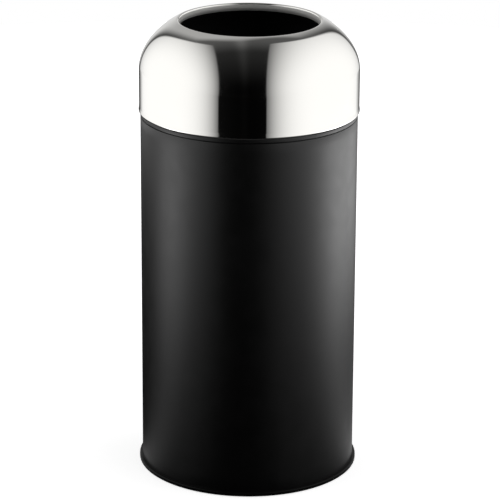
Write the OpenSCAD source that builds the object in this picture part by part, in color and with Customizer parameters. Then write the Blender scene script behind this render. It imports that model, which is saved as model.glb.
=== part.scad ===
// Open dome top waste receptacle: a black cylinder with a polished dome, and a pail inside.
// Millimetres, +Z up. The origin is on the floor, on the axis of the cylinder.
// The front faces -Y. The pail's handle turns on the X axis and lies folded to the back.

/* [Overall] */
// Outer diameter of the black cylinder
body_d = 340; // [300:1:380]
// Height from the floor to the crest of the mouth
overall_h = 726; // [600:1:860]
// Height of the dome, from its lower edge to the crest of the mouth
dome_h = 143; // [125:1:175]
// Sheet thickness of the cylinder, its collar and its base pan
body_t = 0.8; // [0.6:0.1:1.5]

/* [Dome] */
// Sheet thickness of the dome
dome_t = 0.8; // [0.6:0.1:1.2]
// How far the dome's wall stands out past the cylinder
dome_proud = 2; // [1.6:0.1:4]
// Clear diameter of the mouth
mouth_d = 219; // [190:1:235]
// Depth of the lip that turns down into the mouth
mouth_lip_h = 12; // [8:0.5:20]
// Outside radius of the rounded crest round the mouth
crest_r = 3.2; // [2:0.1:5]
// Slope of the dome's top where it meets the crest, in degrees
mouth_slope = 27; // [15:1:40]
// Height over which the dome curves in from its upright wall to the crest
shoulder_h = 79; // [60:1:100]
// Fullness of the shoulder next to the upright wall
wall_fullness = 0.49; // [0.4:0.01:0.65]
// Fullness of the shoulder next to the mouth
crown_fullness = 0.45; // [0.35:0.01:0.6]
// How far the dome's skirt flares at its lower edge
skirt_flare = 0.7; // [0.3:0.1:1.1]
// Height of the flared part of the skirt
flare_h = 7; // [5:0.5:10]
// Inside radius of the folded hem on the dome's lower edge
hem_in_r = 0.3; // [0.2:0.1:0.5]
// Sheet thickness of the support ring inside the dome
support_t = 1.2; // [0.8:0.1:2]
// Height of the support ring's upright leg
support_leg_h = 14; // [8:1:22]
// Thickness of the rubber strip under the dome's edge
strip_foot_h = 1.3; // [0.8:0.1:2]
// Height of the rubber strip's leg inside the hem
strip_leg_h = 9; // [6:0.5:12]
// How far the strip's foot stays back from the dome's flared edge
strip_back = 1.1; // [0.6:0.1:1.6]

/* [Collar] */
// Height of the collar's band that shows between cylinder and dome
band_h = 6.4; // [4:0.1:12]
// Height of the groove between the cylinder's top edge and the band
groove_h = 0.8; // [0.4:0.1:1.5]
// Length of the collar's spigot inside the cylinder
spigot_h = 15; // [10:1:30]
// Height of the collar's neck inside the dome
neck_h = 15; // [12:1:25]
// How far the neck lies back from the band
neck_inset = 1; // [0.8:0.1:2]
// Outside radius of the rolled edge on top of the neck
roll_r = 2; // [1.8:0.1:2.2]

/* [Base] */
// How far the base ring stands out past the cylinder
base_proud = 4.8; // [2:0.1:8]
// Height of the base ring's outer lip
base_lip_h = 6; // [5:0.5:14]
// Thickness of the base ring under the cylinder's edge
base_floor_t = 2.6; // [2:0.1:4]
// Height of the base ring's inner block, which carries the base pan
base_block_h = 9; // [7:0.5:14]
// Width of the base ring's inner block
base_block_w = 25; // [24:1:34]
// Rounding of the base ring's outer edges
base_edge_r = 1.2; // [0.6:0.1:1.8]
// Width of the rubber grip ring under the base ring
grip_ring_w = 6; // [4:0.5:7]
// Height of the rubber grip ring
grip_ring_h = 3.6; // [2.5:0.1:4.5]
// How far the grip ring stands out under the base ring
grip_ring_proud = 0.6; // [0.4:0.1:1]
// Distance from the cylinder's inner face to the grip ring
grip_ring_inset = 5; // [3:0.5:6]
// Height of the base pan's upright flange
pan_flange_h = 15; // [10:1:30]
// Outside bend radius of the base pan
pan_bend_r = 4; // [2.5:0.5:6]
// Radius of the middle of the base pan's pressed bead
pan_bead_r = 70; // [50:1:90]
// Height of the base pan's pressed bead
pan_bead_h = 2; // [1:0.5:2.4]

/* [Base screws] */
// Number of screws that hold the base ring to the pan
screw_count = 6; // [3:1:12]
// Radius of a screw's shank
screw_r = 2; // [1.5:0.1:2.5]
// How far a screw's tip stands above the base pan
screw_tip = 1.6; // [1:0.1:2.4]
// Radius of a screw's head
screw_head_r = 4; // [3.4:0.1:4.4]
// Height of a screw's head
screw_head_h = 2.4; // [1.6:0.1:2.8]
// Depth of the pocket for a screw's head
screw_pocket_h = 3.4; // [2.9:0.1:4]

/* [Pail] */
// Sheet thickness of the pail
pail_t = 0.7; // [0.5:0.1:1]
// Radial gap between the collar's rolled edge and the bag ring
pail_gap = 2; // [1.5:0.1:6]
// How far the pail's rim lies below the top of the collar
pail_rim_drop = 34; // [33:1:60]
// How much smaller the pail's radius is at its foot than at its top
pail_taper = 8.5; // [4:0.5:16]
// Height of the pail's straight wall at its foot
pail_foot_wall_h = 16; // [15:0.5:24]
// Height of the pail's straight wall at its top
pail_top_wall_h = 55; // [52:1:80]
// Radius of the wire in the pail's rim
rim_wire_r = 1.7; // [1.3:0.1:2]
// Height of the hoop round the pail's foot
hoop_h = 14; // [12:0.5:20]
// Thickness of the hoop round the pail's foot
hoop_t = 1.2; // [0.8:0.1:2]
// How far the hoop stands below the pail's wall
hoop_drop = 3; // [2:0.5:6]
// Height of the pail's bottom above the lower edge of its wall
bottom_lift = 6; // [5:0.5:10]
// Bend radius of the pail's bottom
bottom_bend_r = 2; // [1.5:0.1:3]
// Radius of the middle of the bottom's pressed bead
bottom_bead_r = 90; // [60:1:110]
// Height of the bottom's pressed bead
bottom_bead_h = 2.5; // [1:0.5:3.5]
// Number of rubber pads that the pail stands on
pad_count = 4; // [3:1:8]
// Radius of a rubber pad
pad_r = 11; // [8:0.5:12]
// Height of a rubber pad
pad_h = 3; // [2:0.5:6]

/* [Ears] */
// Thickness of a handle ear
ear_t = 2; // [1.5:0.1:2.5]
// Width of an ear's foot, along the pail's wall
ear_foot_w = 34; // [30:1:44]
// Height of an ear's foot
ear_foot_h = 30; // [26:1:36]
// How far an ear's foot lies below the pail's rim
ear_foot_drop = 10; // [8:0.5:14]
// Half the width of an ear's tongue, which is also the radius of its top
ear_tongue_r = 11; // [9:0.5:12]
// Height of the handle's pivot above the pail's rim
pivot_rise = 10; // [9.5:0.5:12]
// Radius of a rivet's shank
rivet_r = 2; // [1.5:0.1:2.5]
// Radius of a rivet's head
rivet_head_r = 4; // [3.4:0.1:5]
// Height of a rivet's head
rivet_head_h = 1.2; // [0.8:0.1:1.4]
// Distance between the two rivets of an ear
rivet_pitch = 22; // [16:1:24]
// Height of the rivets above the lower edge of an ear's foot
rivet_rise = 9; // [6:0.5:12]
// Thickness of the two stops under the handle
stop_t = 2; // [1.5:0.1:3]

/* [Handle] */
// Radius of the handle's wire
bail_r = 3; // [2.5:0.1:3.5]
// Bend radius of the wire beside an ear
bail_bend_r = 5; // [4.5:0.5:6]
// Radius of the handle's two large corners
bail_corner_r = 85; // [70:1:90]
// Reach of the handle, from its pivot to the middle of the grip
bail_reach = 105; // [100:1:115]
// Length of straight wire between an ear and the bend beside it
bail_ear_gap = 0.5; // [0.3:0.1:2]
// How far the heads on the wire's ends stand out past the wire
bail_head_proud = 1.5; // [1:0.1:2]
// Length of the heads on the wire's ends
bail_head_l = 2; // [1:0.1:2.5]
// Running gap of the handle in its ears, and of the grip on the handle
running_gap = 0.08; // [0.04:0.01:0.1]
// Length of the grip
grip_l = 100; // [80:1:110]
// Greatest radius of the grip
grip_r = 10; // [8:0.5:11]
// Depth of the grip's finger grooves
grip_groove = 0.8; // [0.4:0.1:1.5]
// Number of finger grooves
grip_waves = 4; // [2:1:6]

/* [Bag ring] */
// Thickness of the bag ring's flange
ring_flange_t = 2; // [1.5:0.1:2.5]
// Thickness of the bag ring's skirt
ring_skirt_t = 2; // [1.5:0.1:3]
// Height of the bag ring's skirt
ring_skirt_h = 9; // [6:0.5:14]
// Gap between the bag ring's skirt and the pail's rim
ring_rim_gap = 0.5; // [0.4:0.1:1]
// Length of the two lifting tabs
ring_tab_l = 9; // [6:0.5:14]
// Width of the two lifting tabs
ring_tab_w = 28; // [20:1:40]

/* [Clearances] */
// Gap between parts that rest on each other and lift off
seat_gap = 0.3; // [0.3:0.05:0.5]
// Radial gap between the collar and the strip inside the dome
dome_gap = 0.4; // [0.35:0.05:0.6]
// Radial gap round a screw in the base ring, and round the wire in the rim
hole_gap = 0.05; // [0.02:0.01:0.3]

/* [Hidden] */
// Number of straight steps in a small bend, in a large curve and in a wavy outline
bend_steps = 6;
curve_steps = 22;
wave_steps = 40;
// A cutting tool runs this far past the face that it cuts
cut_over = 1;
$fn = 96;

// Small details: bevels of heads, pads and beads, the gap round a screw's head, the grip's barrel shape
screw_head_bevel = 0.8;
screw_pocket_gap = 0.3;
recess_w = 0.9;
rivet_head_bevel = 0.6;
pad_bevel = 1;
grip_barrel = 1.5;
support_bend_in_r = 0.6;
roll_leg_h = 2;
seam_w = 14;

// A length rounded down to a hundredth of a millimetre
function hundredths(x) = floor(100 * x) / 100;

// Radii of the shell
body_r = body_d / 2;
body_in_r = body_r - body_t;
base_r = body_r + base_proud;
neck_r = body_r - neck_inset;
neck_in_r = neck_r - 2 * roll_r;
block_in_r = body_in_r - base_block_w;
grip_ring_out_r = body_in_r - grip_ring_inset;
grip_ring_in_r = grip_ring_out_r - grip_ring_w;
screw_circle_r = (block_in_r + grip_ring_in_r) / 2;
screw_pocket_r = screw_head_r + screw_pocket_gap;

// Heights of the shell, from the floor up
base_z = grip_ring_proud;
shell_z = base_z + base_floor_t;
pan_z = base_z + base_block_h;
pan_top_z = pan_z + body_t;
dome_z = overall_h - dome_h;
strip_z = dome_z - strip_foot_h;
band_top_z = strip_z - seat_gap;
band_z = band_top_z - band_h;
shell_top_z = band_z - groove_h;
neck_top_z = band_top_z + neck_h;
seam_z = pan_z + pan_flange_h + 2 * body_t;
seam_top_z = shell_top_z - spigot_h - 2 * body_t;

// Radii and heights of the dome
dome_r = body_r + dome_proud;
dome_in_r = dome_r - dome_t;
flare_r = dome_r + skirt_flare;
hem_r = dome_t + hem_in_r;
hem_face_r = flare_r - 2 * hem_r;
hem_leg_h = flare_h / 2;
mouth_r = mouth_d / 2;
shoulder_z = overall_h - shoulder_h;
support_z = neck_top_z + seat_gap;
strip_in_r = neck_r + dome_gap;
support_bend_r = support_t + support_bend_in_r;

// Radii and heights of the pail and the bag ring
ring_out_r = neck_in_r - pail_gap;
rim_out_r = ring_out_r - ring_skirt_t - ring_rim_gap;
curl_r = rim_wire_r + hole_gap;
pail_r = rim_out_r - pail_t - 2 * curl_r;
pail_in_r = pail_r - pail_t;
foot_r = pail_r - pail_taper;
foot_in_r = foot_r - pail_t;
rim_top_z = neck_top_z - pail_rim_drop;
rim_wire_z = rim_top_z - pail_t - curl_r;
pad_z = pan_top_z;
hoop_z = pad_z + pad_h + seat_gap;
pail_z = hoop_z + hoop_drop;
pail_bottom_z = pail_z + bottom_lift;
pad_circle_r = foot_r - pad_r + hoop_t;

// Places of the ears, the handle and the grip
pivot_z = rim_top_z + pivot_rise;
ear_foot_z = rim_top_z - ear_foot_drop - ear_foot_h;
ear_face_x = hundredths(sqrt(pow(pail_in_r, 2) - pow(ear_tongue_r, 2)) - seat_gap);
ear_in_x = ear_face_x - ear_t;
leg_x = ear_in_x - bail_ear_gap - bail_bend_r;
bend_x = leg_x + bail_bend_r;
corner_x = leg_x - bail_corner_r;
corner_y = bail_reach - bail_corner_r;
head_x = ear_face_x + seat_gap;
head_r = bail_r + bail_head_proud;
stop_top_z = pivot_z - bail_r - seat_gap;
stop_y = bail_r + bail_bend_r;
stop_w = ear_tongue_r - stop_y;
rivet_z = ear_foot_z + rivet_rise;
rivet_angle = asin(rivet_pitch / 2 / pail_in_r);

// Places of the bag ring
ring_z = rim_top_z + seat_gap;
ring_in_r = norm([head_x + bail_head_l, head_r]) + 2 * seat_gap;

// ---- Outlines in the (radius, height) plane ----

// Points on an arc about c, from angle a0 to angle a1
function arc(c, r, a0, a1, steps = bend_steps) =
    [for (i = [0:steps]) let (a = a0 + (a1 - a0) * i / steps) c + r * [cos(a), sin(a)]];

// A vector of length 1 along v, and the direction to the left of v
function unit(v) = v / norm(v);
function left_of(v) = [-v[1], v[0]];

// The shift of point i that moves its two neighbouring edges 1 mm to their left
function mitre(path, i) =
    let (last = len(path) - 1,
         before = left_of(unit(path[max(i, 1)] - path[max(i, 1) - 1])),
         after = left_of(unit(path[min(i, last - 1) + 1] - path[min(i, last - 1)])))
    (before + after) / (1 + before * after);

// The outline of a sheet of thickness t that lies to the left of a path
function sheet(path, t) =
    concat(path, [for (i = [len(path) - 1:-1:0]) path[i] + t * mitre(path, i)]);

// A point on a cubic curve with the end points and handles p, at s from 0 to 1
function cubic(p, s) =
    pow(1 - s, 3) * p[0] + 3 * s * pow(1 - s, 2) * p[1] + 3 * s * s * (1 - s) * p[2] + pow(s, 3) * p[3];

// A pressed bead in a flat sheet at height z, raised by h round the radius r, with a top 3 h wide
function bead(r, z, h) =
    let (top_w = 1.5 * h, foot_w = 3 * h)
    [[r - foot_w, z], [r - top_w, z + h], [r + top_w, z + h], [r + foot_w, z]];

// The dome's outside, from inside the hem, round the edge, up and over the shoulder, into the mouth
function dome_outline() =
    let (crest = [mouth_r + crest_r, overall_h - crest_r],
         crown = crest + crest_r * [sin(mouth_slope), cos(mouth_slope)],
         crown_pull = crown_fullness * (dome_r - mouth_r),
         wall = [dome_r, shoulder_z],
         handles = [wall, wall + [0, wall_fullness * shoulder_h],
                    crown + crown_pull * [cos(mouth_slope), -sin(mouth_slope)], crown])
    concat(
        [[hem_face_r, dome_z + hem_r + hem_leg_h]],
        arc([flare_r - hem_r, dome_z + hem_r], hem_r, 180, 360),
        [for (i = [1:bend_steps]) let (s = i / bend_steps)
            [dome_r + skirt_flare * (1 + cos(180 * s)) / 2, dome_z + hem_r + flare_h * s]],
        [for (i = [0:curve_steps - 1]) cubic(handles, i / curve_steps)],
        arc(crest, crest_r, 90 - mouth_slope, 180),
        [[mouth_r, overall_h - mouth_lip_h]]);

// The collar's outside: spigot, groove, visible band, neck and rolled edge
function collar_outline() = concat(
    [[body_in_r, shell_top_z - spigot_h], [body_in_r, band_z - groove_h / 2], [body_r, band_z + body_t / 2],
     [body_r, band_top_z - neck_inset], [neck_r, band_top_z]],
    arc([neck_r - roll_r, neck_top_z - roll_r], roll_r, 0, 180),
    [[neck_in_r, neck_top_z - roll_r - roll_leg_h]]);

// The pail's outside: straight foot, tapered wall, straight top and the curl round the rim's wire
function pail_outline() = concat(
    [[foot_r, pail_z], [foot_r, pail_z + pail_foot_wall_h], [pail_r, rim_top_z - pail_top_wall_h]],
    arc([pail_r + curl_r, rim_wire_z], curl_r, 180, -60, 2 * bend_steps));

// The grip's outline along its length: a barrel with finger grooves
function grip_outline() = concat(
    [[bail_r + running_gap, -grip_l / 2]],
    [for (i = [0:wave_steps])
        let (s = 2 * i / wave_steps - 1,
             wave = (1 + cos(180 * (grip_waves * s + grip_waves + 1))) / 2)
        [grip_r - grip_barrel * s * s - grip_groove * wave, grip_l / 2 * s]],
    [[bail_r + running_gap, grip_l / 2]]);

// ---- Shared solids ----

// A ring or disc of sheet turned about the axis
module turned_sheet(path, t) {
    rotate_extrude() polygon(sheet(path, t));
}

// Copies of a part, evenly round the axis
module round_copies(count, radius) {
    for (i = [0:count - 1])
        rotate([0, 0, 360 * (i + 0.5) / count]) translate([radius, 0, 0]) children();
}

// A curved plate on a cylinder: from radius r0 to r1, w wide along the arc, about the +X side
module curved_plate(r0, r1, w, h) {
    spread = 2 * asin(w / 2 / r1);
    rotate([0, 0, -spread / 2]) rotate_extrude(angle = spread)
        translate([r0, 0]) square([r1 - r0, h]);
}

// A domed rivet through a wall: its shank lies along +X and its head is at the low end
module rivet(l) {
    rotate([0, 90, 0]) {
        cylinder(r = rivet_r, h = l);
        translate([0, 0, -rivet_head_h])
            cylinder(r1 = rivet_head_r - rivet_head_bevel, r2 = rivet_head_r, h = rivet_head_h);
    }
}

// A half or quarter turn of the handle's wire
module wire_bend(r, angle) {
    rotate_extrude(angle = angle) translate([r, 0]) circle(r = bail_r);
}

// ---- Shell: cylinder, collar and base ----

module body_shell() {
    color([0.05, 0.05, 0.055]) {
        translate([0, 0, shell_z]) difference() {
            cylinder(r = body_r, h = shell_top_z - shell_z);
            translate([0, 0, -cut_over]) cylinder(r = body_in_r, h = shell_top_z - shell_z + 2 * cut_over);
        }
        // The lap of the rolled sheet's seam, inside at the back
        translate([0, 0, seam_z]) rotate([0, 0, 90])
            curved_plate(body_in_r - body_t, body_in_r, seam_w, seam_top_z - seam_z);
    }
}

module neck_collar() {
    color([0.05, 0.05, 0.055]) turned_sheet(collar_outline(), body_t);
}

module base_pan() {
    pan_path = concat(
        [[0, pan_z]],
        bead(pan_bead_r, pan_z, pan_bead_h),
        arc([body_in_r - pan_bend_r, pan_z + pan_bend_r], pan_bend_r, -90, 0),
        [[body_in_r, pan_z + pan_flange_h]]);
    color([0.12, 0.12, 0.13]) difference() {
        turned_sheet(pan_path, body_t);
        round_copies(screw_count, screw_circle_r)
            translate([0, 0, pan_z - cut_over]) cylinder(r = screw_r, h = body_t + 2 * cut_over);
    }
}

module base_ring() {
    ring_outline = concat(
        [[block_in_r, base_z], [grip_ring_in_r, base_z], [grip_ring_in_r, grip_ring_h],
         [grip_ring_out_r, grip_ring_h], [grip_ring_out_r, base_z]],
        arc([base_r - base_edge_r, base_z + base_edge_r], base_edge_r, -90, 0),
        arc([base_r - base_edge_r, base_z + base_lip_h - base_edge_r], base_edge_r, 0, 90),
        [[body_r, base_z + base_lip_h], [body_r, shell_z], [body_in_r, shell_z],
         [body_in_r, pan_z], [block_in_r, pan_z]]);
    color([0.06, 0.06, 0.06]) difference() {
        rotate_extrude() polygon(ring_outline);
        round_copies(screw_count, screw_circle_r) {
            translate([0, 0, -cut_over]) cylinder(r = screw_r + hole_gap, h = pan_z + 2 * cut_over);
            translate([0, 0, -cut_over])
                cylinder(r = screw_pocket_r, h = base_z + screw_pocket_h + cut_over);
        }
    }
}

module grip_ring() {
    color([0.03, 0.03, 0.03]) rotate_extrude()
        translate([grip_ring_in_r, 0]) square([grip_ring_w, grip_ring_h]);
}

module base_screws() {
    seat_z = base_z + screw_pocket_h;
    recess_l = 1.2 * screw_head_r;
    recess_h = 0.6 * screw_head_h;
    color([0.6, 0.6, 0.62]) round_copies(screw_count, screw_circle_r) difference() {
        union() {
            translate([0, 0, seat_z]) cylinder(r = screw_r, h = pan_top_z + screw_tip - seat_z);
            translate([0, 0, seat_z - screw_head_h])
                cylinder(r1 = screw_head_r - screw_head_bevel, r2 = screw_head_r, h = screw_head_h);
        }
        for (turn = [0, 90])
            translate([0, 0, seat_z - screw_head_h]) rotate([0, 0, turn])
                cube([recess_l, recess_w, 2 * recess_h], center = true);
    }
}

module pail_pads() {
    color([0.03, 0.03, 0.03]) round_copies(pad_count, pad_circle_r)
        translate([0, 0, pad_z]) cylinder(r1 = pad_r, r2 = pad_r - pad_bevel, h = pad_h);
}

// ---- Dome: polished shell, support ring and edge strip ----

module dome_shell() {
    color([0.85, 0.86, 0.87]) turned_sheet(dome_outline(), dome_t);
}

module dome_support_ring() {
    support_path = concat(
        [[neck_in_r, support_z]],
        arc([dome_in_r - support_bend_r, support_z + support_bend_r], support_bend_r, -90, 0),
        [[dome_in_r, support_z + support_leg_h]]);
    color([0.55, 0.56, 0.58]) turned_sheet(support_path, support_t);
}

module dome_edge_strip() {
    leg_t = hem_face_r - strip_in_r;
    color([0.03, 0.03, 0.03]) rotate_extrude() union() {
        translate([strip_in_r, strip_z]) square([leg_t, strip_leg_h]);
        translate([strip_in_r, strip_z]) square([flare_r - strip_back - strip_in_r, strip_foot_h]);
    }
}

// ---- Pail ----

module pail_wall() {
    color([0.66, 0.68, 0.7]) difference() {
        turned_sheet(pail_outline(), pail_t);
        rivet_places() rotate([0, 90, 0]) cylinder(r = rivet_r, h = pail_t + ear_t + cut_over);
    }
}

module pail_bottom() {
    flange_in_r = foot_in_r - pail_t;
    bottom_path = concat(
        [[0, pail_bottom_z]],
        bead(bottom_bead_r, pail_bottom_z, bottom_bead_h),
        arc([flange_in_r - bottom_bend_r, pail_bottom_z - bottom_bend_r], bottom_bend_r, 90, 0),
        [[flange_in_r, pail_z]]);
    color([0.66, 0.68, 0.7]) turned_sheet(bottom_path, pail_t);
}

module pail_foot_hoop() {
    color([0.62, 0.64, 0.66]) rotate_extrude()
        translate([foot_r, hoop_z]) square([hoop_t, hoop_h]);
}

module pail_rim_wire() {
    color([0.6, 0.62, 0.64]) rotate_extrude()
        translate([pail_r + curl_r, rim_wire_z]) circle(r = rim_wire_r, $fn = 48);
}

// The four rivet places, each with +X pointing out through ear and wall
module rivet_places() {
    for (side = [0, 180], turn = [-rivet_angle, rivet_angle])
        rotate([0, 0, side + turn]) translate([pail_in_r - ear_t, 0, rivet_z]) children();
}

// An ear on the +X side: curved foot, flat tongue with its eye, and two stops under the handle
module ear() {
    difference() {
        union() {
            translate([0, 0, ear_foot_z])
                curved_plate(pail_in_r - ear_t, pail_in_r, ear_foot_w, ear_foot_h);
            translate([ear_in_x, -ear_tongue_r, ear_foot_z + ear_foot_h / 2])
                cube([ear_t, 2 * ear_tongue_r, pivot_z - ear_foot_z - ear_foot_h / 2]);
            translate([ear_in_x, 0, pivot_z]) rotate([0, 90, 0]) cylinder(r = ear_tongue_r, h = ear_t);
            for (y = [-ear_tongue_r, stop_y])
                translate([leg_x - bail_r, y, stop_top_z - stop_t])
                    cube([ear_in_x - leg_x + bail_r + ear_t / 2, stop_w, stop_t]);
        }
        translate([ear_in_x - cut_over, 0, pivot_z]) rotate([0, 90, 0])
            cylinder(r = bail_r + running_gap, h = ear_t + 2 * cut_over);
        for (turn = [-rivet_angle, rivet_angle])
            rotate([0, 0, turn]) translate([pail_in_r - ear_t - cut_over, 0, rivet_z])
                rotate([0, 90, 0]) cylinder(r = rivet_r, h = ear_t + 2 * cut_over);
    }
}

module ear_left() {
    color([0.62, 0.64, 0.66]) rotate([0, 0, 180]) ear();
}

module ear_right() {
    color([0.62, 0.64, 0.66]) ear();
}

module ear_rivets() {
    color([0.7, 0.72, 0.74]) rivet_places() rivet(ear_t + pail_t + rivet_head_h);
}

// The handle lies folded to the back, in the plane of its pivot
module bail_handle() {
    color([0.6, 0.62, 0.64]) translate([0, 0, pivot_z]) {
        for (side = [0, 1]) mirror([side, 0, 0]) {
            translate([bend_x, 0, 0]) rotate([0, 90, 0])
                cylinder(r = bail_r, h = head_x + bail_head_l - bend_x);
            translate([head_x, 0, 0]) rotate([0, 90, 0]) cylinder(r = head_r, h = bail_head_l);
            translate([bend_x, bail_bend_r, 0]) rotate([0, 0, 180]) wire_bend(bail_bend_r, 90);
            translate([leg_x, bail_bend_r, 0]) rotate([-90, 0, 0])
                cylinder(r = bail_r, h = corner_y - bail_bend_r);
            translate([corner_x, corner_y, 0]) wire_bend(bail_corner_r, 90);
        }
        translate([-corner_x, bail_reach, 0]) rotate([0, 90, 0]) cylinder(r = bail_r, h = 2 * corner_x);
    }
}

module handle_grip() {
    color([0.04, 0.04, 0.045]) translate([0, bail_reach, pivot_z]) rotate([0, 90, 0])
        rotate_extrude() polygon(grip_outline());
}

// ---- Bag ring ----

module bag_ring() {
    color([0.08, 0.08, 0.085]) {
        rotate_extrude() union() {
            translate([ring_in_r, ring_z]) square([ring_out_r - ring_in_r, ring_flange_t]);
            translate([ring_out_r - ring_skirt_t, ring_z + ring_flange_t - ring_skirt_h])
                square([ring_skirt_t, ring_skirt_h]);
        }
        for (side = [90, 270])
            rotate([0, 0, side]) translate([0, 0, ring_z])
                curved_plate(ring_in_r - ring_tab_l, ring_in_r + ring_skirt_t, ring_tab_w, ring_flange_t);
    }
}

body_shell();
neck_collar();
base_pan();
base_ring();
grip_ring();
base_screws();
pail_pads();
dome_shell();
dome_support_ring();
dome_edge_strip();
pail_wall();
pail_bottom();
pail_foot_hoop();
pail_rim_wire();
ear_left();
ear_right();
ear_rivets();
bail_handle();
handle_grip();
bag_ring();
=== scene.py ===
# %% [markdown]
# # An open dome top waste receptacle
#
# The bin is a satin black cylinder under a polished steel dome with a round mouth. A galvanised
# pail stands inside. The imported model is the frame: it has every solid in its place, in metres,
# with the floor at z = 0 and the front facing -Y. This lesson dresses that frame. Pieces that
# need finer surfaces are worked out with numpy, all others keep their shape and get a finish.

# %% Load the frame
import bpy
import numpy as np
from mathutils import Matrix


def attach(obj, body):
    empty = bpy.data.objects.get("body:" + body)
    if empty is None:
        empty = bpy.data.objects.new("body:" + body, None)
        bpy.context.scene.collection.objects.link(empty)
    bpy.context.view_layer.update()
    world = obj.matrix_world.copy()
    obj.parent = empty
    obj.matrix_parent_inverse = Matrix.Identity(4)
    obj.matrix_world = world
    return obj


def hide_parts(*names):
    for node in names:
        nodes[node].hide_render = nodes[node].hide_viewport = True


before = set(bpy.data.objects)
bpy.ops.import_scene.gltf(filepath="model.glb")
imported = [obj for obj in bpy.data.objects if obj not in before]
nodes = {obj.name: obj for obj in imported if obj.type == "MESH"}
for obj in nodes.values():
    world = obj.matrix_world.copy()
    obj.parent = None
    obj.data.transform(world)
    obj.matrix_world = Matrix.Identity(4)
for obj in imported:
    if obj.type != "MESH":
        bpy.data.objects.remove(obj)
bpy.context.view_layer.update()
MM = 0.001

# %% [markdown]
# ## Turning a profile into a surface
#
# Spun steel, rolled steel and moulded rings are all surfaces of revolution. Blender's Screw
# modifier could turn a profile, but a grid worked out with numpy gives full control: row i of the
# grid is point i of the profile, column j is one direction round the axis, and any column may be
# pushed out or in, which is how a seam, a bead or a tab gets into a wall.

# %% A mesh from arrays
def add_mesh(name, points, faces, finishes, finish_of_face=None):
    """A smooth-shaded mesh object at the origin, from arrays of points and quads."""
    mesh = bpy.data.meshes.new(name)
    mesh.from_pydata(points.tolist(), [], faces.tolist())
    for material in finishes:
        mesh.materials.append(material)
    if finish_of_face is not None:
        mesh.polygons.foreach_set("material_index", finish_of_face.astype(np.int32))
    mesh.shade_smooth()
    mesh.update()
    piece = bpy.data.objects.new(name, mesh)
    bpy.context.scene.collection.objects.link(piece)
    print(name, "has", len(points), "points and", len(faces), "faces")
    return piece


# %% A turned surface
def ring_faces(rows, columns, closed_rows=True):
    """Quads of a grid whose columns close on themselves. closed_rows closes its rows as well."""
    i = np.arange(rows if closed_rows else rows - 1)[:, None]
    j = np.arange(columns)[None, :]
    after_i, after_j = (i + 1) % rows, (j + 1) % columns
    corners = [
        i * columns + j, i * columns + after_j,
        after_i * columns + after_j, after_i * columns + j]
    return np.stack(np.broadcast_arrays(*corners), -1).reshape(-1, 4)


def compass(columns, fine_at=None, fine_width=0.0, fine_steps=0):
    """Angles evenly round the axis, with extra ones across a seam at the angle fine_at."""
    even = np.linspace(0, 2 * np.pi, columns, endpoint=False)
    if fine_at is None:
        return even
    fine = fine_at + np.linspace(-fine_width, fine_width, fine_steps)
    return np.sort(np.concatenate([even[np.abs(even - fine_at) > 1.2 * fine_width], fine]))


def turned(profile, angles, push=None):
    """Points of a turned surface: (r cos a, r sin a, z) for each profile point (r, z) and angle a.
    push(angle, r, z) is a distance in mm that is added to the radius."""
    a = angles[None, :]
    r, z = profile[:, :1], profile[:, 1:]
    out = r + (0 if push is None else push(a, r, z))
    grid = np.stack(np.broadcast_arrays(out * np.cos(a), out * np.sin(a), z), -1)
    return grid.reshape(-1, 3) * MM


# %% [markdown]
# ## Wiring shader nodes like a formula
#
# Every finish and the studio itself are node trees. A small class adds one node per step of a
# formula, which keeps each recipe as short as the sentence that explains it.

# %% A helper for node trees
class Wires:
    """Adds nodes to a tree. Each method returns the new node or its output socket."""

    def __init__(self, owner):
        owner.use_nodes = True
        self.tree = owner.node_tree
        self.tree.nodes.clear()

    def node(self, kind, inputs=(), **settings):
        made = self.tree.nodes.new(kind)
        for key, setting in settings.items():
            setattr(made, key, setting)
        for key, source in dict(inputs).items():
            self.join(source, made.inputs[key])
        return made

    def join(self, source, socket):
        if isinstance(source, bpy.types.NodeSocket):
            self.tree.links.new(source, socket)
        else:
            socket.default_value = source

    def math(self, operation, *values):
        return self.node("ShaderNodeMath", enumerate(values), operation=operation).outputs[0]

    def fade(self, value, low, high, to_low=0.0, to_high=1.0):
        """A smooth step: to_low below low, to_high above high."""
        spots = {
            "Value": value, "From Min": low, "From Max": high, "To Min": to_low, "To Max": to_high}
        return self.node("ShaderNodeMapRange", spots, interpolation_type="SMOOTHSTEP").outputs[0]

    def blend(self, factor, first, second):
        """first where factor is 0 and second where it is 1, for plain numbers."""
        return self.node("ShaderNodeMix", {"Factor": factor, "A": first, "B": second}).outputs[0]

    def place(self, stretch=(1.0, 1.0, 1.0)):
        """The object's own coordinates, in metres, each stretched by a factor."""
        own = self.node("ShaderNodeTexCoord").outputs["Object"]
        return self.node("ShaderNodeMapping", {"Vector": own, "Scale": stretch}).outputs[0]

    def split(self, vector):
        return self.node("ShaderNodeSeparateXYZ", {0: vector}).outputs

    def from_axis(self, x, y):
        """The distance from the Z axis, the square root of x^2 + y^2."""
        return self.math("SQRT", self.math("MULTIPLY_ADD", x, x, self.math("MULTIPLY", y, y)))

    def noise(self, scale, detail=2.0, vector=None):
        """Clouds about 1 / scale metres wide, around 0.5."""
        spots = {"Vector": vector or self.place(), "Scale": scale, "Detail": detail}
        return self.node("ShaderNodeTexNoise", spots).outputs["Fac"]


# %% A finish, and how it varies
def finish(name, colour, metallic=0.0, gloss=0.5):
    """A new material, its wires, and its main shader with the values that are the same all over."""
    material = bpy.data.materials.new(name)
    wires = Wires(material)
    shader = wires.node("ShaderNodeBsdfPrincipled")
    values = {"Base Color": (*colour, 1), "Metallic": metallic, "Specular IOR Level": gloss}
    for key, number in values.items():
        shader.inputs[key].default_value = number
    wires.node("ShaderNodeOutputMaterial", {"Surface": shader.outputs[0]})
    print("finish:", name)
    return material, wires, shader


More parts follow.
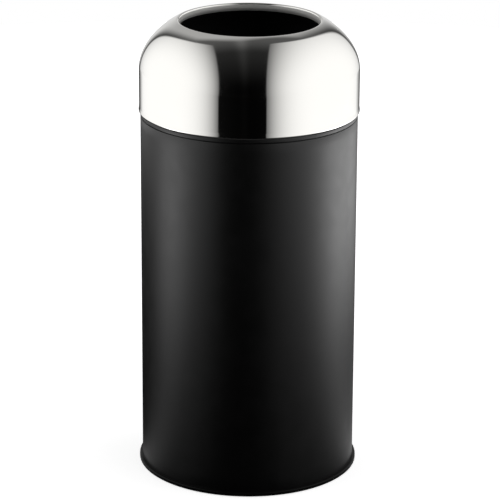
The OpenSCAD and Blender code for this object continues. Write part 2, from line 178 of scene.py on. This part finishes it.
CLOUD_RANGE = (0.3, 0.7)  # a noise seldom leaves it


def vary(wires, shader, cloud, rough, shades=None):
    """Lets a cloud texture drive the roughness between two values, and the colour between two
    shades. A mix node has sockets for every kind of data, of which one kind is enabled."""
    wires.join(wires.fade(cloud, *CLOUD_RANGE, *rough), shader.inputs["Roughness"])
    if shades:
        first, second = ((*shade, 1) for shade in shades)
        spots = {"Factor": wires.fade(cloud, *CLOUD_RANGE), "A": first, "B": second}
        mix = wires.node("ShaderNodeMix", data_type="RGBA")
        for socket in mix.inputs:
            if socket.enabled and socket.name in spots:
                wires.join(spots[socket.name], socket)
        mixed = next(socket for socket in mix.outputs if socket.enabled)
        wires.join(mixed, shader.inputs["Base Color"])


def bump(wires, shader, height, depth):
    """Raises the surface by height times depth metres, in shading only."""
    raised = wires.node("ShaderNodeBump", {"Height": height, "Distance": depth})
    wires.join(raised.outputs[0], shader.inputs["Normal"])


# %% [markdown]
# ## The dome
#
# The real dome is one disc of stainless steel, spun over a former. Its wall stands upright, curls
# over a full shoulder to a round crest and dips into the mouth. At the foot the sheet flares a
# little and folds in on itself as a hem, so that no sharp edge meets the hand. The shoulder is a
# cubic curve: it leaves the wall upright and arrives at the crest with the crest's own slope.

# %% Arcs and sheets, in millimetres
def arc(centre, radius, start, stop, steps):
    """Points on a circle about centre, from angle start to stop in degrees."""
    a = np.radians(np.linspace(start, stop, steps + 1))
    return np.array(centre) + radius * np.stack([np.cos(a), np.sin(a)], 1)


def sheet(path, thickness):
    """A closed outline: the path, and the same path moved to its left by the thickness, backwards.
    The left of a step (dr, dz) is (-dz, dr). Where two steps meet, their lefts a and b give the
    shift (a + b) / (1 + a . b), which keeps the sheet equally thick on both sides of the corner."""
    step = np.diff(path, axis=0)
    step /= np.linalg.norm(step, axis=1)[:, None]
    left = np.stack([-step[:, 1], step[:, 0]], 1)
    before, after = np.vstack([left[:1], left]), np.vstack([left, left[-1:]])
    shift = (before + after) / (1 + (before * after).sum(1))[:, None]
    return np.vstack([path, (path + thickness * shift)[::-1]])


# %% The dome's outline, in millimetres
BODY_R, SHEET_T = 170.0, 0.8
DOME_R, DOME_Z, TOP_Z = 172.0, 583.0, 726.0
FLARE_R, FLARE_H, HEM_R, HEM_LEG_H = 172.7, 7.0, 1.1, 3.5
MOUTH_R, CREST_R, MOUTH_SLOPE, LIP_H = 109.5, 3.2, 27.0, 12.0
SHOULDER_H, WALL_FULLNESS, CROWN_FULLNESS = 79.0, 0.49, 0.45


def dome_path():
    """From inside the hem, round the edge, up the wall, over the shoulder and crest, down into the
    mouth. The flare is half a cosine wave. The shoulder is the cubic curve (1 - s)^3 wall
    + 3 s (1 - s)^2 pull_up + 3 s^2 (1 - s) pull_out + s^3 crown, for s from 0 to 1."""
    slope = np.radians(MOUTH_SLOPE)
    crest = np.array([MOUTH_R + CREST_R, TOP_Z - CREST_R])
    crown = crest + CREST_R * np.array([np.sin(slope), np.cos(slope)])
    wall = np.array([DOME_R, TOP_Z - SHOULDER_H])
    pull_up = wall + [0, WALL_FULLNESS * SHOULDER_H]
    down_slope = np.array([np.cos(slope), -np.sin(slope)])
    pull_out = crown + CROWN_FULLNESS * (DOME_R - MOUTH_R) * down_slope
    s = np.linspace(0, 1, 65)[:-1, None]
    shoulder = (
        (1 - s)**3 * wall + 3 * s * (1 - s)**2 * pull_up
        + 3 * s**2 * (1 - s) * pull_out + s**3 * crown)
    s = np.linspace(0, 1, 13)[1:, None]
    flare_r = DOME_R + (FLARE_R - DOME_R) * (1 + np.cos(np.pi * s)) / 2
    flare = np.hstack([flare_r, DOME_Z + HEM_R + FLARE_H * s])
    return np.vstack([
        [[FLARE_R - 2 * HEM_R, DOME_Z + HEM_R + HEM_LEG_H]],
        arc([FLARE_R - HEM_R, DOME_Z + HEM_R], HEM_R, 180, 360, 16),
        flare, shoulder,
        arc(crest, CREST_R, 90 - MOUTH_SLOPE, 180, 20),
        [[MOUTH_R, TOP_Z - LIP_H / 2], [MOUTH_R, TOP_Z - LIP_H]]])


outline = sheet(dome_path(), SHEET_T)
widest, highest = outline.max(0)
print("dome outline:", len(outline), "points, radius", widest, "top", highest)

# %% [markdown]
# ## Polished steel, and the inside in painted shade
#
# Mirror-polished steel is a metal with almost no roughness. What makes it read as spun steel is
# the trace of the polishing mops: fine rings round the axis that soften reflections a little, more
# in some places than in others. The lip that turns down into the mouth is hard to reach with a
# mop, so it keeps the soft sheen of brushed steel. The inside of a dome is never polished at all.
# Here it gets a nearly black colour, a painted shade that makes the mouth look black from outside.

# %% Finishes of the dome
def rings(wires, scale):
    """Fine rings round the Z axis: a noise that only knows the height and the distance from it."""
    x, y, z = wires.split(wires.place())
    spot = wires.node("ShaderNodeCombineXYZ", {0: wires.from_axis(x, y), 2: z})
    return wires.noise(scale, 3.0, spot.outputs[0])


polished, wires, shader = finish("polished_steel", (0.86, 0.85, 0.82), 1.0)
vary(wires, shader, wires.noise(9.0, 3.0, wires.place((1.0, 1.0, 3.0))), (0.03, 0.07))
bump(wires, shader, rings(wires, 900.0), 0.0000015)

brushed, wires, shader = finish("brushed_steel_lip", (0.85, 0.84, 0.81), 0.45)
vary(wires, shader, rings(wires, 900.0), (0.42, 0.5))
bump(wires, shader, rings(wires, 2400.0), 0.000004)

# The inside's colour is nearly black, far darker than steel: painted shade, so that the mouth looks
# black.
shades = (0.010, 0.010, 0.011), (0.018, 0.018, 0.019)
painted_shade, wires, shader = finish("dome_inside_painted_shade", shades[0], 0.2)
vary(wires, shader, rings(wires, 260.0), (0.5, 0.75), shades)

# %% The dome
DOME_COLUMNS, LIP_ROWS = 288, 7
row, last_outer = np.arange(len(outline)), len(outline) // 2 - 1
zone = np.where(row > last_outer, 2, np.where(row > last_outer - LIP_ROWS, 1, 0))
print("rows of faces that are polished, brushed and dull:", np.bincount(zone))
dome = add_mesh(
    "spun_dome", turned(outline, compass(DOME_COLUMNS)), ring_faces(len(outline), DOME_COLUMNS),
    [polished, brushed, painted_shade], np.repeat(zone, DOME_COLUMNS))
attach(dome, "dome")
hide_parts("dome_shell")

# %% [markdown]
# ## The cylinder and its collar
#
# The cylinder is a steel sheet, rolled and closed by a lap seam at the back. Outside, the seam is
# a fine upright line; inside, the sheet is double there. The collar sits in its top edge. It shows
# as a narrow band under the dome, set off by a groove that catches a thin shadow.

# %% Powder coat
def powder_coat(name, shades, rough):
    """Powder coat over steel: nearly black, satin, with the faint orange peel of melted powder."""
    material, wires, shader = finish(name, shades[0])
    vary(wires, shader, wires.noise(45.0), rough, shades)
    bump(wires, shader, wires.noise(700.0, 1.0), 0.000012)
    return material


satin = powder_coat(
    "satin_powder_coat", ((0.0006, 0.0006, 0.0007), (0.0009, 0.0009, 0.0010)), (0.36, 0.39))

# %% The cylinder
BACK, COLUMNS = np.pi / 2, 240
SHELL_Z, SHELL_TOP_Z, ROLL_R = 3.2, 574.2, 0.3
LAP_Z, LAP_TOP_Z, LAP_W = 26.2, 557.6, 14.0
LAP_EDGE, LAP_ROW = 0.4, 0.3
SEAM_W, SEAM_DEEP = 1.4, 0.25
NEAR_WALL = 0.01  # a point this near to a face counts as on it


def wall_outline():
    """A plain sheet wall with softened edges: up the outside, over the top, down the inside. Two
    rows, LAP_ROW before and after each end of the lap, give the lap its steps."""
    low, high, inner = SHELL_Z + ROLL_R, SHELL_TOP_Z - ROLL_R, BODY_R - SHEET_T
    even = np.linspace(low, high, 25)[1:-1]
    steps = np.add.outer([LAP_Z, LAP_TOP_Z], [-LAP_ROW, LAP_ROW]).ravel()
    up = np.sort(np.concatenate([even, steps]))[:, None]
    return np.vstack([
        arc([BODY_R - ROLL_R, low], ROLL_R, -90, 0, 4),
        np.hstack([BODY_R + 0 * up, up]),
        arc([BODY_R - ROLL_R, high], ROLL_R, 0, 90, 4),
        arc([inner + ROLL_R, high], ROLL_R, 90, 180, 4),
        np.hstack([inner + 0 * up, up[::-1]]),
        arc([inner + ROLL_R, low], ROLL_R, 180, 270, 4)])


def window(x, low, high, edge):
    """1 between low and high and 0 outside, with slopes as wide as edge."""
    return np.clip((x - low) / edge + 0.5, 0, 1) * np.clip((high - x) / edge + 0.5, 0, 1)


def seam(angle, r, z):
    """The seam's line dents the outside as a V that is SEAM_W wide and SEAM_DEEP deep, and its lap
    doubles the inside by one sheet over the width LAP_W."""
    along = (angle - BACK) * BODY_R
    line = -SEAM_DEEP * np.clip(1 - np.abs(along) / (SEAM_W / 2), 0, 1) * (r > BODY_R - ROLL_R)
    across = window(along, -LAP_W / 2, LAP_W / 2, LAP_EDGE)
    lap = SHEET_T * across * window(z, LAP_Z, LAP_TOP_Z, LAP_EDGE)
    return line - lap * (r < BODY_R - SHEET_T + NEAR_WALL)


edge_angle = LAP_W / 2 / BODY_R
angles = compass(COLUMNS, BACK, 1.2 * edge_angle, 81)
outline = wall_outline()
faces = ring_faces(len(outline), len(angles))
cylinder = add_mesh("rolled_cylinder", turned(outline, angles, seam), faces, [satin])
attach(cylinder, "shell")
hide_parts("body_shell")

# %% The collar
BAND_Z, BAND_TOP_Z, NECK_R, NECK_TOP_Z, NECK_ROLL_R = 575.0, 581.4, 169.0, 596.4, 2.0
GROOVE_H, SPIGOT_H, ROLL_LEG_H, BEND_R, BAND_ROUND_R, STEP_H = 0.8, 15.0, 2.0, 0.5, 1.0, 0.3
spigot_r = BODY_R - SHEET_T
collar_path = np.vstack([
    [[spigot_r, SHELL_TOP_Z - SPIGOT_H], [spigot_r, BAND_Z - GROOVE_H / 2]],
    arc([BODY_R - BEND_R, BAND_Z + SHEET_T / 2 + BEND_R], BEND_R, -40, 0, 4),
    arc([BODY_R - BAND_ROUND_R, BAND_TOP_Z - BAND_ROUND_R], BAND_ROUND_R, 0, 60, 5),
    [[NECK_R, BAND_TOP_Z + STEP_H]],
    arc([NECK_R - NECK_ROLL_R, NECK_TOP_Z - NECK_ROLL_R], NECK_ROLL_R, 0, 180, 16),
    [[NECK_R - 2 * NECK_ROLL_R, NECK_TOP_Z - NECK_ROLL_R - ROLL_LEG_H]]])
outline = sheet(collar_path, SHEET_T)
faces = ring_faces(len(outline), COLUMNS)
collar = add_mesh("rolled_collar", turned(outline, compass(COLUMNS)), faces, [satin])
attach(collar, "shell")
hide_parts("neck_collar")

# %% [markdown]
# ## The pail
#
# The pail is hot-dip galvanised sheet. Its wall is a cone between a straight foot and a straight
# top, its rim is curled round a wire, and the sheet is closed by a folded seam at the back. Two
# rolled beads stiffen it. Zinc freezes in large flat crystals, the spangle: each crystal has its
# own shade and its own gloss, which a Voronoi texture gives cell by cell.

# %% Galvanised steel
def galvanised(name, cell_scale):
    """Zinc spangle: every Voronoi cell has its own shade and roughness, under faint clouds."""
    shades = (0.32, 0.335, 0.35), (0.46, 0.47, 0.48)
    material, wires, shader = finish(name, shades[0], 0.8)
    spots = {"Vector": wires.place((1.0, 1.0, 0.8)), "Scale": cell_scale}
    cell = wires.node("ShaderNodeTexVoronoi", spots)
    shade = wires.split(cell.outputs["Color"])[0]
    shade = wires.blend(0.3, shade, wires.noise(30.0))
    vary(wires, shader, shade, (0.34, 0.55), shades)
    bump(wires, shader, cell.outputs["Distance"], 0.00003)
    return material


zinc = galvanised("galvanised_spangle", 110.0)

# %% The pail's wall
PAIL_T, PAIL_R, FOOT_R, CURL_R = 0.7, 156.3, 147.8, 1.75
PAIL_Z, FOOT_WALL_H, RIM_Z, TOP_WALL_H = 16.7, 16.0, 562.4, 55.0
BEADS, BEAD_H, BEAD_W = (180.0, 390.0), 1.4, 5.0
LOCK_W, LOCK_T, LOCK_Z, LOCK_TOP_Z, LOCK_EDGE, LOCK_END = 8.0, 0.7, 32.0, 555.0, 1.0, 4.0


def pail_path():
    """Straight foot, cone with two beads, straight top, and the curl round the wire.
    A bead adds BEAD_H (1 + cos) / 2 to the radius over a height of 2 BEAD_W."""
    cone_z, cone_top_z = PAIL_Z + FOOT_WALL_H, RIM_Z - TOP_WALL_H
    near = [bead + BEAD_W * np.linspace(-1, 1, 13) for bead in BEADS]
    z = np.unique(np.concatenate([np.linspace(cone_z, cone_top_z, 30), *near]))
    bulge = sum(0.5 + 0.5 * np.cos(np.pi * np.clip((z - bead) / BEAD_W, -1, 1)) for bead in BEADS)
    r = FOOT_R + (PAIL_R - FOOT_R) * (z - cone_z) / (cone_top_z - cone_z) + BEAD_H * bulge
    curl = arc([PAIL_R + CURL_R, RIM_Z - PAIL_T - CURL_R], CURL_R, 180, -60, 24)
    return np.vstack([[[FOOT_R, PAIL_Z]], np.stack([r, z], 1), curl])


def lock_seam(angle, r, z):
    """The folded seam: a flat ridge as thick as the sheet, all the way up the outside."""
    along = (angle - BACK) * PAIL_R
    across = window(along, -LOCK_W / 2, LOCK_W / 2, LOCK_EDGE)
    return LOCK_T * across * window(z, LOCK_Z, LOCK_TOP_Z, LOCK_END)


outline = sheet(pail_path(), PAIL_T)
is_outer = np.arange(len(outline))[:, None] < len(outline) // 2
angles = compass(COLUMNS, BACK, LOCK_W / PAIL_R, 33)
points = turned(outline, angles, lambda a, r, z: lock_seam(a, r, z) * is_outer)
pail = add_mesh("pail_wall_rolled", points, ring_faces(len(outline), len(angles)), [zinc])
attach(pail, "pail")
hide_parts("pail_wall")

# %% [markdown]
# ## The bag ring
#
# The bag ring is a light moulded ring that holds a bag's edge on the pail's rim. Moulded edges are
# never sharp, so its outline has small radii. The two lifting tabs are the same flange, pushed in
# towards the axis over a short arc, with rounded ends.

# %% The bag ring
RING_IN_R, RING_OUT_R, RING_Z, RING_T, SKIRT_T, SKIRT_H = 157.9, 163.0, 562.7, 2.0, 2.0, 9.0
TAB_L, TAB_W, EDGE_R, RING_COLUMNS = 9.0, 28.0, 0.5, 720


def rounded(corners, radius, steps=4):
    """A closed outline with its corners rounded: each corner becomes a quadratic curve between the
    points that lie a radius before and after it."""
    before, after = np.roll(corners, 1, 0) - corners, np.roll(corners, -1, 0) - corners
    before *= radius / np.linalg.norm(before, axis=1)[:, None]
    after *= radius / np.linalg.norm(after, axis=1)[:, None]
    s = np.linspace(0, 1, steps + 1)[None, :, None]
    curve = corners[:, None] + (1 - s)**2 * before[:, None] + s**2 * after[:, None]
    return curve.reshape(-1, 2)


skirt_in_r, ring_top_z, skirt_z = RING_OUT_R - SKIRT_T, RING_Z + RING_T, RING_Z + RING_T - SKIRT_H
corners = np.array([
    [skirt_in_r, skirt_z], [RING_OUT_R, skirt_z], [RING_OUT_R, ring_top_z],
    [RING_IN_R, ring_top_z], [RING_IN_R, RING_Z], [skirt_in_r, RING_Z]])


def tabs(angle, r, z):
    """Pushes the flange's inner edge in at the front and the back, by TAB_L times the square root
    of 1 - t^4, where t runs from -1 to 1 along the tab."""
    along = np.arcsin(np.abs(np.cos(angle))) * RING_IN_R
    shape = np.clip(1 - (along / (TAB_W / 2))**4, 0, 1)**0.5
    return -TAB_L * shape * (r < RING_IN_R + EDGE_R + NEAR_WALL)


outline = rounded(corners, EDGE_R)
shades = (0.018, 0.018, 0.019), (0.028, 0.028, 0.029)
plastic, wires, shader = finish("dark_moulded_plastic", shades[0])
vary(wires, shader, wires.noise(400.0), (0.42, 0.56), shades)
bump(wires, shader, wires.noise(1500.0, 1.0), 0.00002)
faces = ring_faces(len(outline), RING_COLUMNS)
ring = add_mesh("moulded_bag_ring", turned(outline, compass(RING_COLUMNS), tabs), faces, [plastic])
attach(ring, "bag_ring")
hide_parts("bag_ring")

# %% [markdown]
# ## Finishes of the pieces that keep their shape
#
# Turned, stamped and moulded small pieces are right as the frame has them. Each only needs its own
# finish: grained plastic and rubber, plain rolled steel with rings from the lathe, zinc plating
# with its cool tint, and galvanised wire.

# %% Plastic and rubber
def grained(name, shades, rough, scale, depth, gloss=0.5):
    """Moulded black material with a fine grain."""
    material, wires, shader = finish(name, shades[0], gloss=gloss)
    vary(wires, shader, wires.noise(scale / 12), rough, shades)
    bump(wires, shader, wires.noise(scale, 1.0), depth)
    return material


base_plastic = grained(
    "base_plastic", ((0.0015, 0.0015, 0.0015), (0.003, 0.003, 0.003)), (0.34, 0.42),
    1400.0, 0.00001, 0.15)
rubber = grained(
    "black_rubber", ((0.012, 0.012, 0.012), (0.020, 0.020, 0.019)), (0.72, 0.88), 1100.0, 0.00004)
grip_plastic = grained(
    "grip_plastic", ((0.010, 0.010, 0.011), (0.015, 0.015, 0.016)), (0.38, 0.5), 900.0, 0.00003)
pan_paint = powder_coat(
    "matt_pan_paint", ((0.010, 0.010, 0.011), (0.016, 0.016, 0.017)), (0.55, 0.68))

# %% Bare and plated steel
shades = (0.44, 0.44, 0.44), (0.56, 0.56, 0.55)
turned_steel, wires, shader = finish("plain_steel", shades[0], 1.0)
vary(wires, shader, rings(wires, 500.0), (0.25, 0.42), shades)

shades = (0.52, 0.55, 0.60), (0.66, 0.66, 0.64)
plated, wires, shader = finish("zinc_plating", shades[0], 1.0)
vary(wires, shader, wires.noise(350.0), (0.22, 0.4), shades)

shades = (0.42, 0.44, 0.46), (0.58, 0.59, 0.60)
wire_zinc, wires, shader = finish("galvanised_wire", shades[0], 1.0)
vary(wires, shader, wires.noise(140.0, 4.0), (0.3, 0.52), shades)
bump(wires, shader, wires.noise(600.0), 0.00003)

# %% Every node gets its finish
node_finishes = {
    base_plastic: ("base_ring",),
    pan_paint: ("base_pan",),
    rubber: ("grip_ring", "pail_pads", "dome_edge_strip"),
    turned_steel: ("dome_support_ring",),
    plated: ("base_screws", "ear_rivets"),
    zinc: ("pail_bottom", "pail_foot_hoop", "ear_left", "ear_right"),
    wire_zinc: ("pail_rim_wire", "bail_handle"),
    grip_plastic: ("handle_grip",)}
for chosen, names in node_finishes.items():
    for name in names:
        nodes[name].material_slots[0].material = chosen
print("nodes that keep their shape:", sum(len(names) for names in node_finishes.values()))

# %% [markdown]
# ## The studio
#
# Polished steel shows the room around it, so the room is half of its look. The photograph's room
# can be read from the dome: a large curved panel of light stands on either side, brightest in its
# middle, the front is black where the camera looks in, the ceiling is dark grey, and behind the
# panels' back edges a pale wall rises. Such a room could be built from lamps and cards. Here it is
# a formula on the direction that a ray takes, which costs no render time and has no noise.

# %% The numbers of the room
# Each panel fills a cone: its axis to the right and to the front, and the cosine of its half angle.
PANELS = ((-0.99, -0.14, 0.387), (0.997, -0.082, 0.216))
# A panel's brightness at its rim, how much more it has on its axis, the power of the fall between
# them, and the softness of its edges.
PANEL_EDGE, PANEL_MORE, PANEL_POWER, PANEL_SOFT = 0.154, 1.021, 2.47, 0.01
# Where the panels end at the back: the numbers of the left and the right side, blended over SIDES.
SIDES, BACK_EDGE, BACK_LEAN = (-0.3, 0.3), (0.908, 0.935), (0.851, 0.792)
# Fades over the height up: from, to, value below, value above. The wall's own light, the gap
# between the panels' ends and the wall, and the width over which the wall's light comes in.
WALL_LIGHT, WALL_GAP = (0.0, 0.45, 0.72, 0.43), (0.75, 0.97, 0.006, 0.095)
WALL_FADE = (0.35, 0.75, 0.055, 0.09)
# The ceiling's grey and its change towards the front, the light further back and its fade over the
# height, and the strip: its middle, its width, and how much it adds.
CEILING, CEILING_FRONT = 0.022, -0.021
CEILING_BACK, CEILING_UP = (-0.35, 0.1, 0.064, 0.0), (0.3, 0.8, 0.1, 1.0)
STRIP, STRIP_MORE = (-0.08, 0.06), 0.8
half_angles = np.degrees(np.arccos([panel[2] for panel in PANELS]))
print("half angles of the panels in degrees:", half_angles.round(1))

# %% The room as a formula
def bell(wires, value, middle, width):
    """exp(-((value - middle) / width)^2)"""
    off = wires.math("DIVIDE", wires.math("SUBTRACT", value, middle), width)
    return wires.math("EXPONENT", wires.math("MULTIPLY", wires.math("MULTIPLY", off, off), -1.0))


def ceiling(wires, x, front, up):
    """Black at the front, dark grey overhead, with a faint strip of light left of the middle."""
    grey = wires.math("MULTIPLY_ADD", front, CEILING_FRONT, CEILING)
    high = wires.fade(up, *CEILING_UP)
    grey = wires.math("MULTIPLY_ADD", wires.fade(front, *CEILING_BACK), high, grey)
    strip = wires.math("MULTIPLY_ADD", bell(wires, x, *STRIP), STRIP_MORE, 1.0)
    return wires.math("MULTIPLY", grey, strip)


def room(wires, x, front, up):
    """The brightness of the room in the direction (x, front, up), each from -1 to 1. The panels end
    where behind = lean * up^2 - edge - front turns positive. Behind that the wall's light comes in,
    after a gap and over a width that both grow with the height."""
    edge, lean = (wires.fade(x, *SIDES, *ends) for ends in (BACK_EDGE, BACK_LEAN))
    rise = wires.math("MULTIPLY", wires.math("MULTIPLY", up, up), lean)
    behind = wires.math("SUBTRACT", wires.math("SUBTRACT", rise, edge), front)
    past_gap = wires.math("SUBTRACT", behind, wires.fade(up, *WALL_GAP))
    inward = wires.math("DIVIDE", past_gap, wires.fade(up, *WALL_FADE))
    wall = wires.fade(up, *WALL_LIGHT)
    light = wires.fade(inward, 0.0, 1.0, ceiling(wires, x, front, up), wall)
    for right, forward, edge_cosine in PANELS:
        cosine = wires.math("MULTIPLY_ADD", x, right, wires.math("MULTIPLY", front, forward))
        spots = {"Value": cosine, "From Min": edge_cosine}
        inside = wires.node("ShaderNodeMapRange", spots).outputs[0]
        dip = wires.math("POWER", wires.math("SUBTRACT", 1.0, inside), PANEL_POWER)
        glow = wires.math("MULTIPLY_ADD", dip, -PANEL_MORE, PANEL_EDGE + PANEL_MORE)
        in_cone = wires.fade(cosine, edge_cosine - PANEL_SOFT, edge_cosine + PANEL_SOFT)
        in_front = wires.fade(behind, -PANEL_SOFT, PANEL_SOFT, 1.0, 0.0)
        light = wires.blend(wires.math("MULTIPLY", in_cone, in_front), light, glow)
    return light


# %% The world
world = bpy.data.worlds.new("studio")
bpy.context.scene.world = world
wires = Wires(world)
x, y, z = wires.split(wires.place())
light = room(wires, x, wires.math("MULTIPLY", y, -1.0), wires.math("MAXIMUM", z, 0.0))
seen = wires.node("ShaderNodeLightPath").outputs["Is Camera Ray"]
strength = wires.blend(seen, light, 1.0)
backdrop = wires.node("ShaderNodeBackground", {"Color": (1.0, 1.0, 1.0, 1.0), "Strength": strength})
wires.node("ShaderNodeOutputWorld", {"Surface": backdrop.outputs[0]})
print("the room has", len(PANELS), "panels and", len(wires.tree.nodes), "nodes")

# %% [markdown]
# ## The floor
#
# The floor is pale and plain. It takes the bin's soft shadow, and further out it melts into the
# white background. For the camera its white glow is weaker next to the bin, a painted shade round
# its foot. Satin paint on an upright wall mostly mirrors the floor, so for mirror rays the floor
# glows as a lit studio floor does: like the room behind it, dimmer near the bin, in shadow at the
# back, and brightest beside the bin, under the panels. This light is only seen and lights nothing.

# %% The numbers of the floor's glow
# The glow near the bin, and the distances between which it rises to the room's own brightness.
GLOW_NEAR, GLOW_R = 0.06, (0.6, 2.25)
# Shadows and patches end between these distances: the dome mirrors what lies further out.
NEAR_R = (2.0, 2.25)
# Fades: from, to, value before, value after. The first is over the part of the direction that
# points to the front, the shadows' are over the compass angle in degrees, 0 at the front.
BACK_DIM = (-0.95, -0.78, 0.3, 1.0)
SHADOW_LEFT, SHADOW_RIGHT = (87.0, 124.0, 0.0, 1.0), (82.0, 123.0, 0.0, 0.665)
# The dimmer part at the front right: middle and width in degrees, and its fade over the distance.
DIM_FRONT, DIM_FRONT_R = (25.0, 22.0), (0.7, 1.8, 0.0, 0.72)
# Patches of light: middle and width in degrees, and the strength.
PATCHES = ((-83.0, 18.0, 3.5), (113.0, 31.0, 10.5))

# %% The floor's glow
def floor_glow(wires, x, y, distance):
    """The floor as a mirror ray sees it at (x, y): the room's brightness in that compass direction,
    dimmer straight behind the bin and dimmer near it, less the shadows, plus the patches of light.
    Every effect is a factor."""
    front = wires.math("MULTIPLY", y, -1.0)
    forward = wires.math("DIVIDE", front, distance)
    glow = room(wires, wires.math("DIVIDE", x, distance), forward, 0.0)
    azimuth = wires.math("DEGREES", wires.math("ARCTAN2", x, front))
    left = wires.fade(wires.math("MULTIPLY", azimuth, -1.0), *SHADOW_LEFT)
    shadows = wires.math("ADD", left, wires.fade(azimuth, *SHADOW_RIGHT))
    front_dim = wires.math(
        "MULTIPLY", bell(wires, azimuth, *DIM_FRONT), wires.fade(distance, *DIM_FRONT_R))
    patches = 0.0
    for middle, width, more in PATCHES:
        patches = wires.math("MULTIPLY_ADD", bell(wires, azimuth, middle, width), more, patches)
    near = wires.fade(distance, *NEAR_R, 1.0, 0.0)
    factors = [wires.fade(forward, *BACK_DIM), wires.fade(distance, *GLOW_R, GLOW_NEAR, 1.0)]
    for shadow in (shadows, front_dim):
        factors.append(wires.math("SUBTRACT", 1.0, wires.math("MULTIPLY", shadow, near)))
    factors.append(wires.math("MULTIPLY_ADD", patches, near, 1.0))
    for factor in factors:
        glow = wires.math("MULTIPLY", glow, factor)
    return glow


# %% The floor
FLOOR_R, FLOOR_IN_R, FLOOR_ROWS, FLOOR_COLUMNS, FLOOR_LOWER = 3.0, 0.001, 40, 96, 0.2
# The camera's white glow rises from 0.73 at 0.17 m to 1 at 1.1 m out: the weaker glow near the bin
# is a painted shade round its foot.
FLOOR_COLOUR, FLOOR_WHITE_AND_PAINTED_SHADE = (0.8, 0.8, 0.8, 1.0), (0.17, 1.1, 0.73, 1.0)
reach = np.linspace(FLOOR_IN_R, FLOOR_R, FLOOR_ROWS)[:, None] / MM
points = turned(np.hstack([reach, 0 * reach - FLOOR_LOWER]), compass(FLOOR_COLUMNS))
quads = ring_faces(FLOOR_ROWS, FLOOR_COLUMNS, closed_rows=False)[:, ::-1]
pale = bpy.data.materials.new("pale_floor")
wires = Wires(pale)
x, y, z = wires.split(wires.place())
distance = wires.from_axis(x, y)
matt = wires.node("ShaderNodeBsdfDiffuse", {"Color": FLOOR_COLOUR})
# The white glow is weaker near the bin: a painted shade round its foot.
white_and_painted_shade = wires.node("ShaderNodeEmission", {"Strength": wires.fade(distance, *FLOOR_WHITE_AND_PAINTED_SHADE)})
lit = wires.node("ShaderNodeAddShader", {0: matt.outputs[0], 1: white_and_painted_shade.outputs[0]})
glow = wires.node("ShaderNodeEmission", {"Strength": floor_glow(wires, x, y, distance)})
ray = wires.node("ShaderNodeLightPath").outputs
others = wires.node(
    "ShaderNodeMixShader", {0: ray["Is Glossy Ray"], 1: matt.outputs[0], 2: glow.outputs[0]})
shown = wires.node(
    "ShaderNodeMixShader", {0: ray["Is Camera Ray"], 1: others.outputs[0], 2: lit.outputs[0]})
wires.node("ShaderNodeOutputMaterial", {"Surface": shown.outputs[0]})
pale.cycles.emission_sampling = "NONE"  # the floor's light is seen, and lights nothing
floor = add_mesh("floor", points, quads, [pale])

# %% [markdown]
# ## The camera
#
# The camera stands 4.1 m in front of the bin, a metre above it, and looks down by 18 degrees with
# a long lens, turned by a third of a degree about its own axis. These numbers come from a fit to
# the outline of the bin in the photograph.

# %% The camera
camera = bpy.data.objects.new("camera", bpy.data.cameras.new("camera"))
camera.location = (0.0, -4.0965, 1.71224)
camera.rotation_euler = (1.24985, -0.00517, 0.00112)
camera.data.sensor_width = 36.0
camera.data.lens = 195.635
bpy.context.scene.collection.objects.link(camera)
bpy.context.scene.camera = camera
bpy.context.scene.view_settings.view_transform = "Standard"
print("camera at", tuple(camera.location), "with a lens of", camera.data.lens, "mm")
